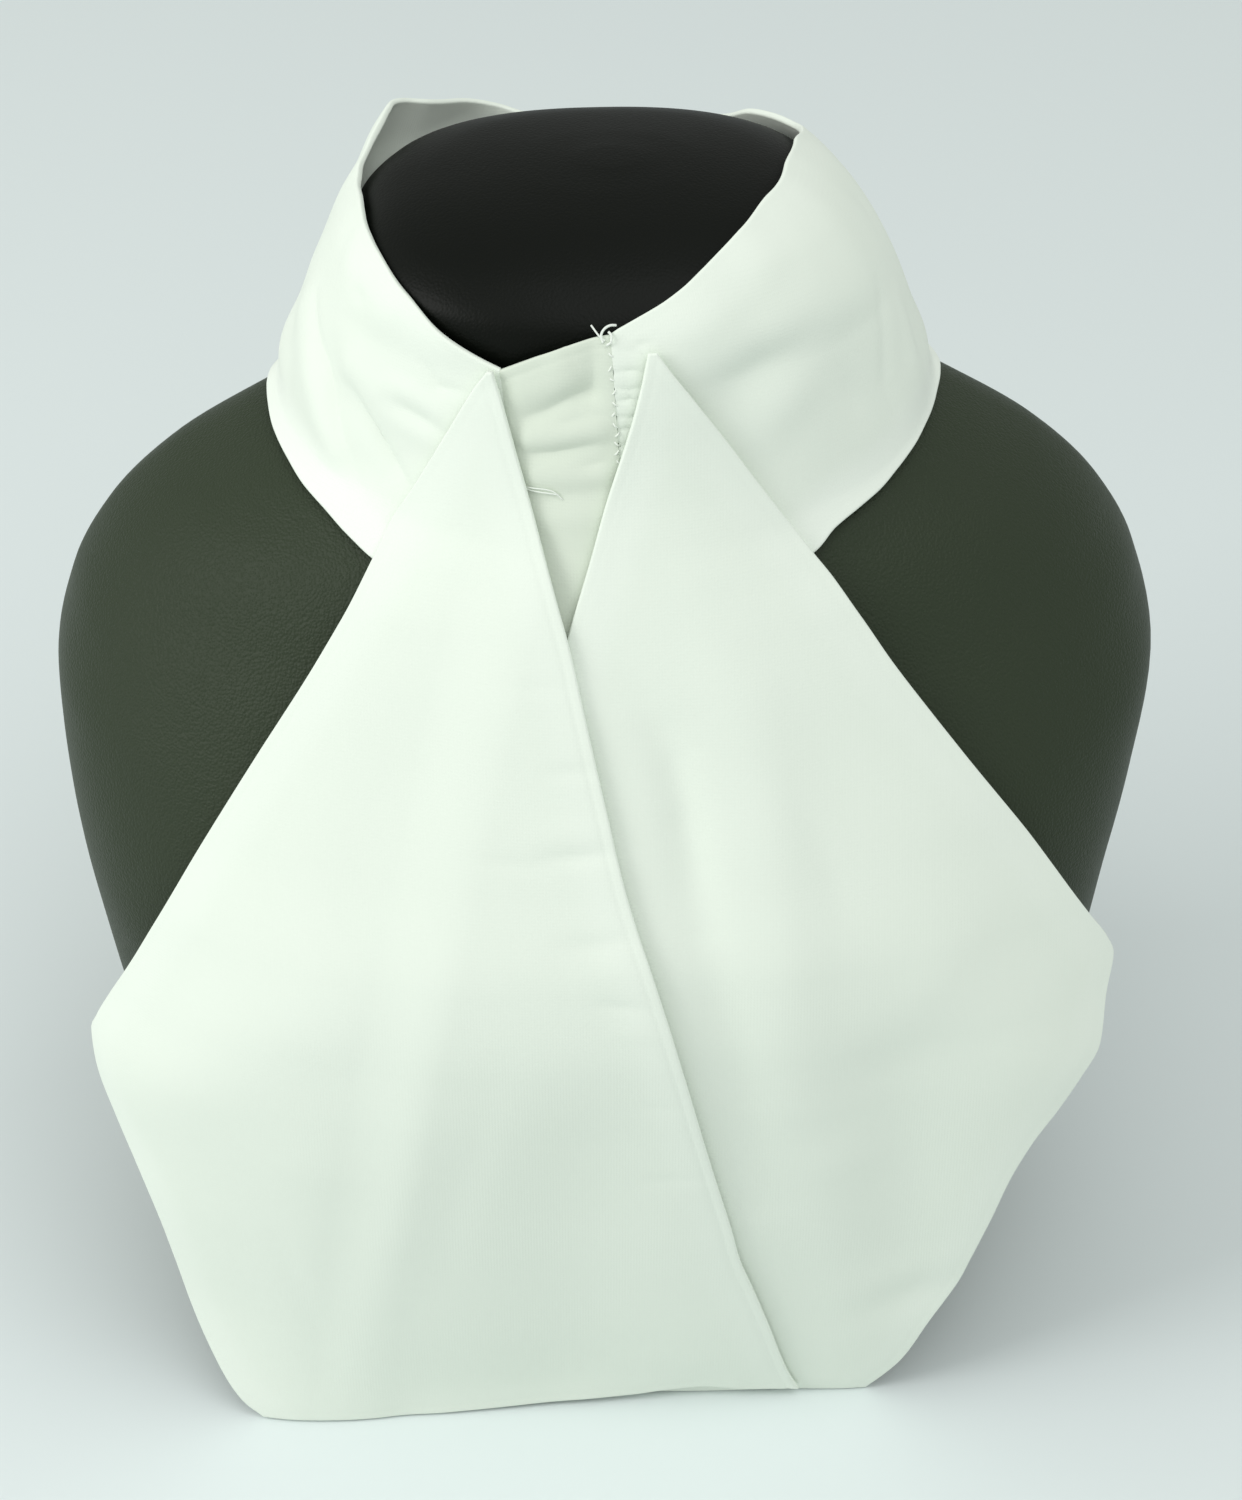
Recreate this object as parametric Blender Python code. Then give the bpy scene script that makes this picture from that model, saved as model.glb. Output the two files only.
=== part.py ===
"""White cotton stock tie on a black necklace display bust.

All sizes in the tables are millimetres and angles are degrees.
The object stands on its base at z = 0 and faces -Y, with +X on the right of the front view.
The tables are measured from the middle of the neck, and the finished object is moved so that
the middle of its overall box is over the origin.
"""
import math

import bmesh
import bpy
import numpy as np

MM = 0.001

# Cloth wall and the clearances between layers
CLOTH_WALL = 1.3
SEAM_GAP = 0.3
TAIL_OVER_COLLAR = 2.1
TAIL_OVER_TAIL = 1.9
CLOSURE_STEP = 1.7

# Number of sections and points in each piece
BUST_RINGS = 42
BUST_POINTS = 60
COLLAR_ROWS = 11
COLLAR_COLUMNS = 52
THROAT_ROWS = 40
THROAT_COLUMNS = 9
TAIL_ROWS = 36
TAIL_COLUMNS = 21

# Horizontal sections of the display bust, from the base to the crown
BUST_COLUMNS = ("z", "half_width", "mid_y", "front_y", "back_y", "power", "mid_x")
BUST = (
    (0.0, 74.0, -40.0, -83.0, 20.0, 2.70, -2.0),
    (3.0, 76.0, -39.0, -84.5, 22.0, 2.70, -2.0),
    (30.0, 86.0, -34.0, -89.0, 27.0, 2.60, -2.0),
    (70.0, 96.2, -27.0, -92.0, 31.0, 2.50, -3.2),
    (100.0, 102.2, -20.0, -92.0, 32.0, 2.40, -3.3),
    (120.0, 106.0, -15.0, -88.0, 32.0, 2.30, -2.5),
    (138.0, 108.0, -10.0, -80.0, 32.0, 2.20, -1.4),
    (153.0, 104.3, -6.0, -72.0, 31.0, 2.10, -1.3),
    (166.0, 96.9, -4.0, -65.0, 30.0, 2.00, -1.2),
    (177.0, 85.7, -3.0, -59.5, 29.0, 2.00, -1.1),
    (185.0, 72.0, -2.0, -54.5, 29.0, 2.00, -0.8),
    (192.0, 57.5, 0.0, -50.0, 29.0, 2.00, -0.4),
    (199.0, 51.5, 0.0, -46.5, 29.0, 2.00, 0.0),
    (207.0, 48.0, 0.0, -43.5, 30.0, 2.00, 0.0),
    (217.0, 46.5, 0.0, -42.0, 31.0, 2.30, 0.0),
    (226.0, 45.6, 0.0, -39.0, 31.0, 2.45, -0.9),
    (231.5, 40.4, 0.0, -33.0, 29.5, 2.50, -0.9),
    (235.6, 31.5, 0.0, -24.0, 23.0, 2.35, -0.6),
    (238.2, 16.5, 0.0, -12.0, 11.0, 2.20, -0.3),
    (239.0, 5.0, 0.0, -3.5, 3.5, 2.00, 0.0),
)

# Horizontal sections of the form on which the tails drape
DRAPE_COLUMNS = ("z", "half_width", "mid_y", "front_y", "back_y", "power")
DRAPE = (
    (0.0, 90.0, -50.0, -89.5, 20.0, 7.00),
    (30.0, 98.0, -44.0, -93.5, 26.0, 4.20),
    (60.0, 105.0, -37.0, -95.5, 32.0, 3.60),
    (85.0, 108.5, -30.0, -96.0, 34.0, 3.20),
    (100.0, 109.0, -24.0, -95.3, 35.0, 2.80),
    (117.0, 109.5, -16.0, -92.0, 36.0, 2.50),
    (135.0, 108.6, -11.0, -83.8, 36.0, 2.30),
    (153.0, 104.6, -6.0, -75.0, 36.0, 2.15),
    (166.0, 99.0, -4.0, -69.0, 36.0, 2.05),
    (176.0, 91.0, -3.0, -64.0, 36.0, 2.00),
    (185.0, 73.6, -2.0, -59.5, 36.0, 2.00),
    (192.0, 63.2, 0.0, -56.0, 37.0, 2.00),
    (199.0, 61.4, 0.0, -52.7, 38.0, 2.00),
    (207.0, 58.8, 0.0, -50.0, 38.5, 2.00),
    (217.0, 55.3, 0.0, -47.5, 39.0, 2.00),
    (226.0, 50.7, 0.0, -44.5, 39.0, 2.20),
    (233.0, 45.4, 0.0, -38.8, 38.0, 2.20),
    (237.0, 40.0, 0.0, -34.0, 36.0, 2.10),
    (240.0, 34.0, 0.0, -29.0, 33.0, 2.00),
    (243.0, 24.0, 0.0, -21.0, 28.0, 2.00),
)

# Edges of the collar halves: angle from the front, height
LEFT_TOP = (
    (-205.0, 224.5),
    (-180.0, 224.5),
    (-165.0, 226.0),
    (-150.0, 229.5),
    (-138.0, 232.5),
    (-129.0, 234.0),
    (-121.0, 233.0),
    (-112.0, 231.4),
    (-99.0, 230.5),
    (-88.0, 231.3),
    (-68.0, 230.6),
    (-50.0, 228.2),
    (-37.0, 224.6),
    (-31.0, 223.0),
    (-22.0, 220.6),
)
LEFT_BOTTOM = (
    (-205.0, 185.0),
    (-180.0, 184.5),
    (-150.0, 185.5),
    (-120.0, 187.0),
    (-105.0, 188.8),
    (-95.0, 189.3),
    (-85.3, 189.4),
    (-76.7, 189.1),
    (-68.1, 188.6),
    (-60.3, 187.8),
    (-52.0, 186.8),
    (-44.0, 185.2),
    (-36.3, 183.3),
    (-10.0, 180.0),
)
RIGHT_TOP = (
    (-2.5, 227.0),
    (0.5, 228.7),
    (8.5, 232.1),
    (19.0, 234.2),
    (36.0, 237.1),
    (56.0, 238.9),
    (75.0, 239.3),
    (99.0, 237.9),
    (110.0, 235.5),
    (122.0, 233.2),
    (135.0, 231.8),
    (144.0, 230.5),
    (152.0, 228.0),
    (165.0, 225.5),
    (180.0, 224.5),
    (200.0, 224.5),
)
RIGHT_BOTTOM = (
    (-3.0, 179.5),
    (12.0, 181.3),
    (29.1, 185.1),
    (35.5, 187.4),
    (42.5, 188.5),
    (48.3, 189.1),
    (54.8, 189.9),
    (62.0, 190.5),
    (70.6, 190.9),
    (78.7, 190.8),
    (87.8, 190.1),
    (105.0, 188.8),
    (120.0, 187.2),
    (150.0, 185.5),
    (180.0, 184.5),
    (200.0, 184.5),
)
LEFT_END_ANGLE = -202.0
RIGHT_END_ANGLE = 196.0
CLOSURE_RAMP = (-158.0, -140.0)

# Where the collar stands off the form: angle, reach in degrees, share of height at
# which it is full, push outwards
LEFT_STAND_OFF = (
    (-128.0, 40.0, 1.1, 6.0),
    (-95.0, 55.0, 0.0, 1.3),
)
RIGHT_STAND_OFF = (
    (100.0, 50.0, 0.5, -1.9),
    (130.0, 38.0, 0.4, -1.5),
)

# Folds of the collar: angle and height at both ends, half width, rise
LEFT_FOLDS = (
    (-84.0, 211.0, -58.0, 196.0, 5.0, 1.1),
    (-66.0, 208.0, -44.0, 197.0, 4.5, -0.9),
    (-58.0, 211.0, -36.0, 207.0, 4.0, 1.0),
    (-118.0, 222.0, -112.0, 198.0, 6.0, -1.2),
    (-152.0, 222.0, -146.0, 197.0, 6.0, 1.0),
)
RIGHT_FOLDS = (
    (27.0, 219.0, 14.0, 213.0, 5.0, -1.0),
    (62.0, 226.0, 66.0, 204.0, 9.0, 0.8),
    (118.0, 220.0, 122.0, 198.0, 6.0, 0.8),
    (150.0, 220.0, 146.0, 196.0, 6.0, -0.7),
)

# Seams between the throat panel and the collar halves: height, x
LEFT_SEAM = (
    (160.0, -13.0),
    (182.0, -15.5),
    (198.0, -17.9),
    (208.6, -19.4),
    (214.0, -20.1),
    (221.0, -21.0),
)
RIGHT_SEAM = (
    (160.0, 2.0),
    (182.0, 1.0),
    (209.0, -0.6),
    (217.0, -1.0),
    (228.0, -1.6),
)

# Throat panel: height at the left and the right end of the top edge, its rise between them,
# and the height at both ends of the bottom edge
THROAT_TOP = (220.6, 227.6)
THROAT_ARCH = 1.1
THROAT_BOTTOM = (163.0, 163.0)

# Gathers across the throat panel: height at the left, height at the right, half width, rise
THROAT_GATHERS = (
    (216.6, 222.4, 2.3, 0.6),
    (208.2, 211.6, 2.3, 0.9),
    (202.2, 204.0, 2.2, 0.8),
    (195.0, 197.2, 2.6, 0.4),
)

# Left tail, the upper one: height, outer edge x, inner edge x
LEFT_TAIL = (
    (0.4, -75.0, 34.6),
    (4.0, -79.3, 33.2),
    (15.0, -84.9, 30.4),
    (25.5, -88.2, 27.7),
    (38.0, -90.6, 24.1),
    (48.0, -92.6, 21.1),
    (55.5, -94.6, 19.6),
    (70.5, -99.4, 16.2),
    (82.0, -102.6, 13.6),
    (87.5, -103.0, 12.4),
    (91.0, -101.8, 11.6),
    (98.0, -98.5, 10.0),
    (108.5, -92.9, 7.4),
    (118.5, -87.5, 4.6),
    (135.5, -77.5, -0.8),
    (151.0, -67.4, -4.4),
    (165.0, -57.9, -7.5),
    (176.3, -50.4, -10.0),
    (186.2, -43.8, -12.8),
    (196.7, -37.1, -15.7),
    (205.4, -32.2, -18.1),
    (217.5, -25.6, -21.2),
    (221.0, -23.9, -21.9),
)

# How far the left hem is lifted off the floor: x, lift; and the height below which it shows
LEFT_HEM = (
    (-40.0, 0.0),
    (-20.0, 0.6),
    (0.0, 1.6),
    (8.0, 2.8),
    (15.0, 3.5),
    (23.0, 2.3),
    (35.0, 2.1),
)
HEM_REACH = 16.0

# Right tail, the lower one: height, inner edge x, outer edge x
RIGHT_TAIL = (
    (0.4, -44.0, 48.6),
    (9.5, -43.0, 55.3),
    (20.4, -41.7, 60.0),
    (32.7, -40.3, 66.0),
    (39.7, -39.4, 67.9),
    (50.0, -38.0, 70.9),
    (61.4, -36.3, 74.2),
    (70.4, -34.9, 78.3),
    (76.8, -33.8, 82.6),
    (83.6, -32.7, 87.0),
    (88.0, -32.0, 90.4),
    (97.3, -30.4, 91.7),
    (103.6, -29.1, 93.1),
    (107.0, -28.3, 91.8),
    (113.7, -26.8, 87.6),
    (125.4, -24.1, 80.0),
    (134.3, -21.8, 73.9),
    (149.6, -17.9, 62.2),
    (158.3, -15.6, 55.6),
    (167.5, -13.2, 48.7),
    (175.4, -10.9, 43.1),
    (181.5, -8.8, 38.4),
    (189.2, -6.1, 31.8),
    (199.3, -2.9, 24.6),
    (210.0, 0.7, 17.5),
    (218.7, 3.2, 11.4),
    (225.6, 4.8, 6.4),
)

# Soft folds of the tails: x and height at both ends, half width, rise
LEFT_TAIL_FOLDS = (
    (-96.0, 84.0, -55.0, 112.0, 11.0, 1.0),
    (-66.0, 4.0, -60.0, 70.0, 12.0, 1.1),
    (-78.0, -8.0, -66.0, -8.0, 18.0, 5.0),
    (-36.0, -8.0, -12.0, -8.0, 12.0, 2.6),
)
RIGHT_TAIL_FOLDS = (
    (84.0, 88.0, 60.0, 112.0, 9.0, 0.9),
    (58.0, 34.0, 48.0, 92.0, 10.0, -1.2),
    (44.0, 6.0, 40.0, 70.0, 10.0, 0.9),
    (-12.0, 2.0, -8.0, 80.0, 15.0, -1.2),
)
LAYER_RAMP = (-22.0, -6.0)
LAYER_HEIGHTS = (179.0, 206.0)

COTTON = (0.86, 0.88, 0.86, 1.0)
COTTON_ROUGHNESS = 0.88
LEATHERETTE = (0.030, 0.034, 0.028, 1.0)
LEATHERETTE_ROUGHNESS = 0.48


def curve(xs, ys, x):
    """Shape-keeping cubic through the points of a table."""
    xs = np.asarray(xs, float)
    ys = np.asarray(ys, float)
    step = np.diff(xs)
    slope = np.diff(ys) / step
    tangent = np.zeros_like(ys)
    tangent[0] = slope[0]
    tangent[-1] = slope[-1]
    for i in range(1, len(xs) - 1):
        if slope[i - 1] * slope[i] > 0.0:
            before = 2.0 * step[i] + step[i - 1]
            after = step[i] + 2.0 * step[i - 1]
            tangent[i] = (before + after) / (before / slope[i - 1] + after / slope[i])
    x = np.clip(x, xs[0], xs[-1])
    i = np.clip(np.searchsorted(xs, x) - 1, 0, len(xs) - 2)
    t = (x - xs[i]) / step[i]
    start = (2 * t**3 - 3 * t**2 + 1) * ys[i] + (t**3 - 2 * t**2 + t) * step[i] * tangent[i]
    end = (-2 * t**3 + 3 * t**2) * ys[i + 1] + (t**3 - t**2) * step[i] * tangent[i + 1]
    return start + end


def look_up(table, column, key):
    """Value of one column of a table at a key of its first column."""
    return curve([row[0] for row in table], [row[column] for row in table], key)


def smooth_step(low, high, value):
    """0 below low, 1 above high and an even rise between."""
    t = np.clip((value - low) / (high - low), 0.0, 1.0)
    return t * t * (3.0 - 2.0 * t)


def section(table, z, offset):
    """Half width, middle, front depth, back depth and power of a section, moved outwards."""
    half_width, mid_y, front_y, back_y, power = [look_up(table, k, z) for k in range(1, 6)]
    return half_width + offset, mid_y, mid_y - front_y + offset, back_y - mid_y + offset, power


def around(table, angle, z, offset):
    """Point of a section at an angle from the front, positive towards +X."""
    half_width, mid_y, front, back, power = section(table, z, offset)
    s = math.sin(math.radians(angle))
    c = math.cos(math.radians(angle))
    x = half_width * math.copysign(abs(s) ** (2.0 / power), s)
    depth = front if c > 0.0 else back
    y = mid_y - depth * math.copysign(abs(c) ** (2.0 / power), c)
    return np.array((x, y, z))


def in_front(x, z, offset):
    """Point on the front of the drape at a given x."""
    half_width, mid_y, front, _, power = section(DRAPE, z, offset)
    share = min(abs(x) / half_width, 0.999)
    return np.array((x, mid_y - front * (1.0 - share**power) ** (1.0 / power), z))


def fold_rise(folds, a, b, scale=1.0):
    """Sum of the folds at (a, b); scale turns the first measure into millimetres."""
    total = 0.0
    for a0, b0, a1, b1, half_width, rise in folds:
        along = np.array(((a1 - a0) * scale, b1 - b0))
        point = np.array(((a - a0) * scale, b - b0))
        length = float(np.hypot(*along))
        t = float(point @ along) / length**2
        near = along * min(max(t, 0.0), 1.0)
        distance = float(np.hypot(*(point - near)))
        total += rise * math.exp(-((distance / half_width) ** 2))
    return total


def outward(grid):
    """Unit normals of a grid of points."""
    down = np.gradient(grid, axis=0)
    across = np.gradient(grid, axis=1)
    normal = np.cross(down, across)
    length = np.linalg.norm(normal, axis=2, keepdims=True)
    return normal / np.maximum(length, 1e-9)


def material(name, colour, roughness):
    """One plain Principled material."""
    mat = bpy.data.materials.new(name)
    mat.use_nodes = True
    shader = mat.node_tree.nodes["Principled BSDF"]
    shader.inputs["Base Color"].default_value = colour
    shader.inputs["Roughness"].default_value = roughness
    shader.inputs["Metallic"].default_value = 0.0
    mat.diffuse_color = colour
    return mat


def add_object(name, bm, mat):
    """Put a finished mesh into the scene, smooth apart from its sharp rims."""
    bmesh.ops.recalc_face_normals(bm, faces=bm.faces)
    for face in bm.faces:
        face.smooth = True
    for edge in bm.edges:
        if len(edge.link_faces) == 2 and edge.calc_face_angle() > math.radians(50.0):
            edge.smooth = False
    mesh = bpy.data.meshes.new(name)
    bm.to_mesh(mesh)
    bm.free()
    mesh.materials.append(mat)
    obj = bpy.data.objects.new(name, mesh)
    collection.objects.link(obj)
    return obj


def loft_rings(name, rings, mat):
    """Closed body through rings of equal point number, with a flat cap at each end."""
    bm = bmesh.new()
    loops = [[bm.verts.new(point * MM) for point in ring] for ring in rings]
    count = len(loops[0])
    for lower, upper in zip(loops[:-1], loops[1:]):
        for i in range(count):
            j = (i + 1) % count
            bm.faces.new((lower[i], lower[j], upper[j], upper[i]))
    bm.faces.new(list(reversed(loops[0])))
    bm.faces.new(loops[-1])
    return add_object(name, bm, mat)


def cloth_wall(name, grid, wall, mat):
    """Closed sheet of even wall: the grid is its inner face, the outer one lies along the normals."""
    outer = grid + outward(grid) * wall
    bm = bmesh.new()
    rows, columns = grid.shape[:2]
    skins = []
    for points in (grid, outer):
        skins.append([[bm.verts.new(points[r, c] * MM) for c in range(columns)] for r in range(rows)])
    for r in range(rows - 1):
        for c in range(columns - 1):
            for skin, turn in ((skins[0], 1), (skins[1], -1)):
                corners = (skin[r][c], skin[r + 1][c], skin[r + 1][c + 1], skin[r][c + 1])
                bm.faces.new(corners[::turn])
    rim = [(0, c) for c in range(columns - 1)]
    rim += [(r, columns - 1) for r in range(rows - 1)]
    rim += [(rows - 1, c) for c in range(columns - 1, 0, -1)]
    rim += [(r, 0) for r in range(rows - 1, 0, -1)]
    for (r0, c0), (r1, c1) in zip(rim, rim[1:] + rim[:1]):
        bm.faces.new((skins[0][r0][c0], skins[0][r1][c1], skins[1][r1][c1], skins[1][r0][c0]))
    return add_object(name, bm, mat)


def display_bust():
    """Smooth necklace bust with a flat base."""
    heights = np.array([row[0] for row in BUST])
    spread = np.linspace(0.0, len(heights) - 1.0, BUST_RINGS)
    levels = np.interp(spread, np.arange(len(heights)), heights)
    angles = [360.0 * i / BUST_POINTS for i in range(BUST_POINTS)]
    rings = []
    for z in levels:
        side = np.array((look_up(BUST, 6, z), 0.0, 0.0))
        rings.append([around(BUST, angle, z, 0.0) + side for angle in angles])
    mat = material("display_bust_leatherette", LEATHERETTE, LEATHERETTE_ROUGHNESS)
    return loft_rings("display_bust", rings, mat)


def stand_off(pushes, angle, share):
    """How far the collar stands off its form."""
    total = 0.0
    for centre, reach, power, push in pushes:
        away = min(abs(angle - centre) / reach, 1.0)
        total += push * math.cos(0.5 * math.pi * away) ** 2 * max(share, 0.0) ** power
    return total


def seam_angle(seam, shift, z):
    """Angle at which a throat seam meets a section."""
    half_width, _, _, _, power = section(DRAPE, z, -TAIL_OVER_COLLAR)
    share = (look_up(seam, 1, z) + shift) / half_width
    return math.degrees(math.asin(math.copysign(abs(share) ** (0.5 * power), share)))


def collar_half(name, top, bottom, seam, shift, end_angle, pushes, folds):
    """Half of the standing band, from its throat seam round to the back."""
    grid = np.zeros((COLLAR_ROWS, COLLAR_COLUMNS, 3))
    seam_top = look_up(top, 1, seam_angle(seam, shift, 222.0))
    seam_low = look_up(bottom, 1, seam_angle(seam, shift, 182.0))
    for r in range(COLLAR_ROWS):
        share = 1.0 - r / (COLLAR_ROWS - 1.0)
        start = seam_angle(seam, shift, seam_low + share * (seam_top - seam_low))
        for c in range(COLLAR_COLUMNS):
            angle = start + (end_angle - start) * c / (COLLAR_COLUMNS - 1.0)
            low = look_up(bottom, 1, angle)
            z = low + share * (look_up(top, 1, angle) - low)
            offset = stand_off(pushes, angle, share) - TAIL_OVER_COLLAR
            offset += fold_rise(folds, angle, z, 0.9)
            if end_angle < 0.0:
                offset += CLOSURE_STEP * (1.0 - smooth_step(*CLOSURE_RAMP, angle))
            grid[r, c] = around(DRAPE, angle, z, offset)
    if end_angle < 0.0:
        grid = grid[:, ::-1]
    mat = material(name + "_cotton", COTTON, COTTON_ROUGHNESS)
    return cloth_wall(name, grid, CLOTH_WALL, mat)


def throat_panel():
    """Gathered panel between the two collar halves, running down under the tails."""
    grid = np.zeros((THROAT_ROWS, THROAT_COLUMNS, 3))
    for r in range(THROAT_ROWS):
        down = r / (THROAT_ROWS - 1.0)
        for c in range(THROAT_COLUMNS):
            share = c / (THROAT_COLUMNS - 1.0)
            top = THROAT_TOP[0] + share * (THROAT_TOP[1] - THROAT_TOP[0])
            top += THROAT_ARCH * 4.0 * share * (1.0 - share)
            bottom = THROAT_BOTTOM[0] + share * (THROAT_BOTTOM[1] - THROAT_BOTTOM[0])
            z = top + down * (bottom - top)
            left = look_up(LEFT_SEAM, 1, z) + 0.5 * SEAM_GAP
            right = look_up(RIGHT_SEAM, 1, z) - 0.5 * SEAM_GAP
            ease = 0.3 + 0.7 * smooth_step(0.0, 0.2, min(share, 1.0 - share))
            rise = 0.0
            for z_left, z_right, half_width, height in THROAT_GATHERS:
                away = (z - z_left - share * (z_right - z_left)) / half_width
                rise += ease * height * math.exp(-away * away)
            grid[r, c] = in_front(left + share * (right - left), z, rise - TAIL_OVER_COLLAR)
    mat = material("throat_panel_cotton", COTTON, COTTON_ROUGHNESS)
    return cloth_wall("throat_panel", grid, CLOTH_WALL, mat)


def tail_levels(table):
    """Heights of the sections of a tail, closer where its outline turns."""
    heights = np.array([row[0] for row in table])
    spread = np.linspace(0.0, len(heights) - 1.0, TAIL_ROWS)
    return np.interp(spread, np.arange(len(heights)), heights)[::-1]


def tail(name, table, folds, layer, hem):
    """One tail, draped over the collar and the chest and hanging to the floor."""
    grid = np.zeros((TAIL_ROWS, TAIL_COLUMNS, 3))
    for r, z in enumerate(tail_levels(table)):
        left = look_up(table, 1, z)
        right = look_up(table, 2, z)
        for c in range(TAIL_COLUMNS):
            x = left + (right - left) * c / (TAIL_COLUMNS - 1.0)
            offset = fold_rise(folds, x, z)
            if layer:
                hidden_edge = look_up(RIGHT_TAIL, 1, z)
                over = smooth_step(hidden_edge + LAYER_RAMP[0], hidden_edge + LAYER_RAMP[1], x)
                offset += layer * over * (1.0 - smooth_step(*LAYER_HEIGHTS, z))
                offset += over * fold_rise(RIGHT_TAIL_FOLDS, x, z)
            grid[r, c] = in_front(x, z, offset)
            if hem:
                grid[r, c, 2] += look_up(hem, 1, x) * (1.0 - smooth_step(0.4, HEM_REACH, z))
    mat = material(name + "_cotton", COTTON, COTTON_ROUGHNESS)
    return cloth_wall(name, grid, CLOTH_WALL, mat)


def centre_over_origin(objects):
    """Move the object sideways so that the middle of its overall box is at x = y = 0."""
    corners = np.array([vertex.co[:] for obj in objects for vertex in obj.data.vertices])
    middle = 0.5 * (corners.min(axis=0) + corners.max(axis=0))
    for obj in objects:
        for vertex in obj.data.vertices:
            vertex.co.x -= middle[0]
            vertex.co.y -= middle[1]


for old in list(bpy.data.objects):
    bpy.data.objects.remove(old, do_unlink=True)

collection = bpy.data.collections.new("stock_tie_on_display_bust")
bpy.context.scene.collection.children.link(collection)

display_bust()
half_gap = 0.5 * SEAM_GAP
collar_half("collar_left", LEFT_TOP, LEFT_BOTTOM, LEFT_SEAM, -half_gap, LEFT_END_ANGLE,
            LEFT_STAND_OFF, LEFT_FOLDS)
collar_half("collar_right", RIGHT_TOP, RIGHT_BOTTOM, RIGHT_SEAM, half_gap, RIGHT_END_ANGLE,
            RIGHT_STAND_OFF, RIGHT_FOLDS)
throat_panel()
tail("tail_right", RIGHT_TAIL, RIGHT_TAIL_FOLDS, 0.0, ())
tail("tail_left", LEFT_TAIL, LEFT_TAIL_FOLDS, TAIL_OVER_TAIL, LEFT_HEM)
centre_over_origin(collection.objects)
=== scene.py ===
"""Looks of the white cotton stock tie on its black leatherette display bust.

Sizes in the tables are millimetres and angles are degrees, measured from the middle of the
neck; SHIFT moves them into the frame of the CAD model.
"""

import math

import bpy
import numpy as np
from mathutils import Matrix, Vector


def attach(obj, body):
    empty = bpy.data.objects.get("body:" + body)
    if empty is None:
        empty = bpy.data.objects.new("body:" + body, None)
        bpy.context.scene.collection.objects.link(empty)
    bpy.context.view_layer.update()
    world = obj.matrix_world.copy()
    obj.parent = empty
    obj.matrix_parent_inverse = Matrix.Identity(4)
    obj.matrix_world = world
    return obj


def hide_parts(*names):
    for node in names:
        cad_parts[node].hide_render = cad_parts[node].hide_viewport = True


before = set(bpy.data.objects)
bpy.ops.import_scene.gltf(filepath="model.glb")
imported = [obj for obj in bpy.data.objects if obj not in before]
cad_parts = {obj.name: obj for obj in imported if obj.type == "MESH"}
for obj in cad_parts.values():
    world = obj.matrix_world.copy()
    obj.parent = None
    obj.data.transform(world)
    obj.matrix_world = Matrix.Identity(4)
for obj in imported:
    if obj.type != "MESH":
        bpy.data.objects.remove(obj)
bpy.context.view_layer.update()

MM = 0.001
SHIFT = np.array((1.396, 29.563, 0.0))

# Camera: target, distance, compass angle and elevation, lens for a 36 mm long side
CAMERA_TARGET = (0.000396, -0.040437, 0.156)
CAMERA_DISTANCE = 0.66
CAMERA_AZIMUTH = -2.5
CAMERA_ELEVATION = 40.0
CAMERA_LENS = 86.7

# Cloth wall, its rounded edges and the clearances between layers
CLOTH_WALL = 1.3
SHOWN_WALL = 1.25
EDGE_RADIUS = 0.42
# The throat panel and the collar ends overlap a little, so that no gap shows
SEAM_GAP = -0.05
TAIL_OVER_COLLAR = 2.1
TAIL_OVER_TAIL = 1.9
CLOSURE_STEP = 1.7

# Horizontal sections of the bust: z, half width, middle y, front y, back y, power, middle x
BUST = (
    (0.0, 74.0, -40.0, -83.0, 20.0, 2.70, -2.0),
    (3.0, 76.0, -39.0, -84.5, 22.0, 2.70, -2.0),
    (30.0, 86.0, -34.0, -89.0, 27.0, 2.60, -2.0),
    (70.0, 96.2, -27.0, -92.0, 31.0, 2.50, -3.2),
    (100.0, 102.2, -20.0, -92.0, 32.0, 2.40, -3.3),
    (120.0, 106.0, -15.0, -88.0, 32.0, 2.30, -2.5),
    (138.0, 108.0, -10.0, -80.0, 32.0, 2.20, -1.4),
    (153.0, 104.3, -6.0, -72.0, 31.0, 2.10, -1.3),
    (166.0, 96.9, -4.0, -65.0, 30.0, 2.00, -1.2),
    (177.0, 85.7, -3.0, -59.5, 29.0, 2.00, -1.1),
    (185.0, 72.0, -2.0, -54.5, 29.0, 2.00, -0.8),
    (192.0, 57.5, 0.0, -50.0, 29.0, 2.00, -0.4),
    (199.0, 51.5, 0.0, -46.5, 29.0, 2.00, 0.0),
    (207.0, 48.0, 0.0, -43.5, 30.0, 2.00, 0.0),
    (217.0, 46.5, 0.0, -42.0, 31.0, 2.30, 0.0),
    (226.0, 46.1, 0.0, -39.0, 31.0, 2.45, -1.3),
    (231.5, 41.4, 0.0, -33.0, 29.5, 2.50, -1.6),
    (235.6, 32.4, 0.0, -24.0, 23.0, 2.35, -1.2),
    (238.2, 16.5, 0.0, -12.0, 11.0, 2.20, -0.3),
    (239.0, 5.0, 0.0, -3.5, 3.5, 2.00, 0.0),
)

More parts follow.
